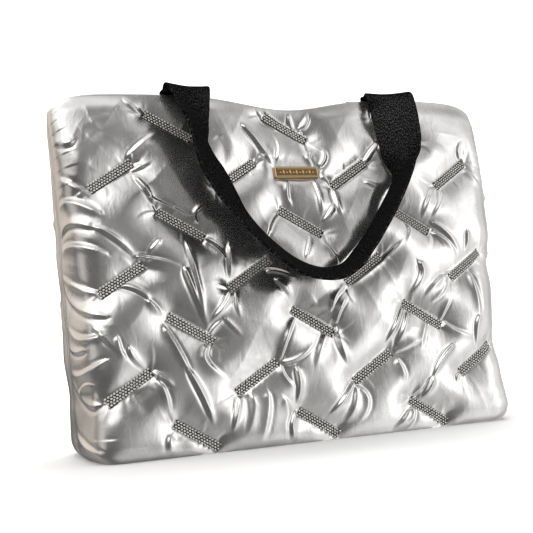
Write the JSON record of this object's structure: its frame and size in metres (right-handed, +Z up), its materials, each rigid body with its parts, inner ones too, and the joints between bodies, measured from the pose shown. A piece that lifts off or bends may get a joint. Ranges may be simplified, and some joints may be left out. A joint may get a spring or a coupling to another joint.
{
  "type": "puffer tote bag",
  "caption": "Padded, bar-quilted metallic tote bag with an open mouth, flat base, webbing handles draped over the rim and a small metal plate.",
  "frame": {"origin": "middle of the footprint on the floor, under the middle of the bag's length", "axes": "X along the bag's length, Y from front to back, Z up; the front with the plate faces -Y"},
  "size_m": [0.4514, 0.2146, 0.3435],
  "materials": {
    "quilted_cloth": "silver metallic coated polyester, glossy",
    "strap_webbing": "black satin webbing",
    "plate_metal": "brushed light gold"
  },
  "bodies": {
    "root": {"front_panel": "quilted_cloth", "back_panel": "quilted_cloth", "base_panel": "quilted_cloth", "front_strap": "strap_webbing", "back_strap": "strap_webbing", "plate": "plate_metal"}
  },
  "joints": []
}
